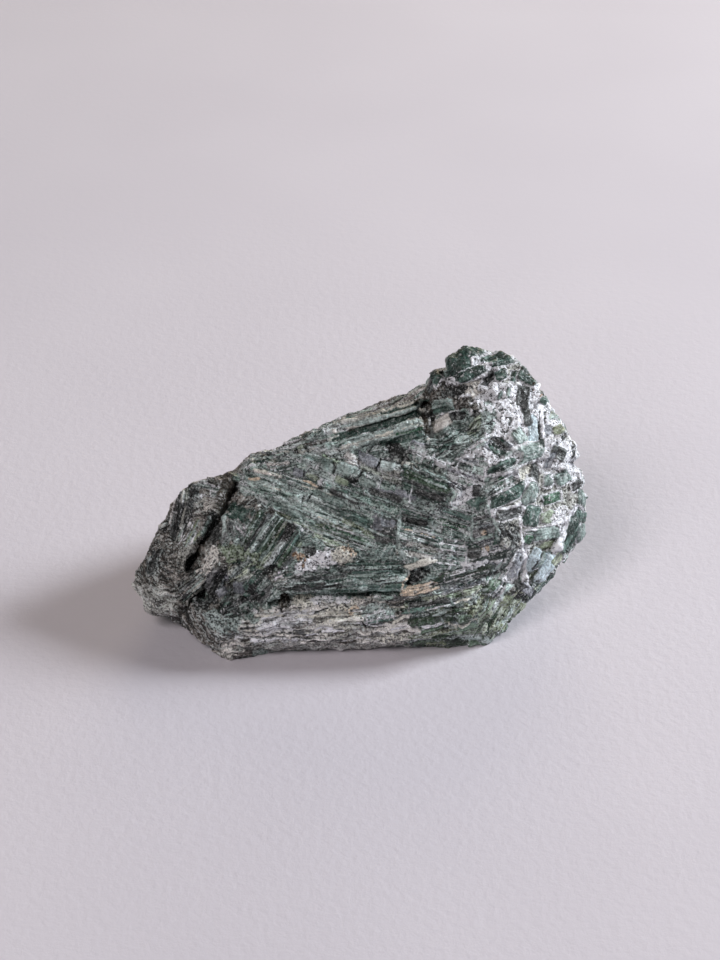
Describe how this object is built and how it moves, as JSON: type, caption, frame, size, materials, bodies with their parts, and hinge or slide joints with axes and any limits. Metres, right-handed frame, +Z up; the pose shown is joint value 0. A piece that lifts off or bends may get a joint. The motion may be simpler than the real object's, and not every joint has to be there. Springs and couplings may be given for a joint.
{
  "type": "actinolite hand specimen",
  "caption": "Rough bladed actinolite specimen: dark green prismatic crystals grown together with white talc and grey schist, lying on a worn flat.",
  "frame": {"origin": "centre of the bottom of the bounding box, on the surface the specimen lies on", "axes": "+Z up, +X along the specimen from the narrow schist lobe to the broad talc-coated head, display face towards -Y"},
  "size_m": [0.1, 0.062, 0.0524],
  "materials": {
    "actinolite": "natural broken stone: silky dark green blades, chalky white talc and grey-brown schist, with small rust stains"
  },
  "bodies": {
    "root": {"actinolite": "actinolite"}
  },
  "joints": []
}
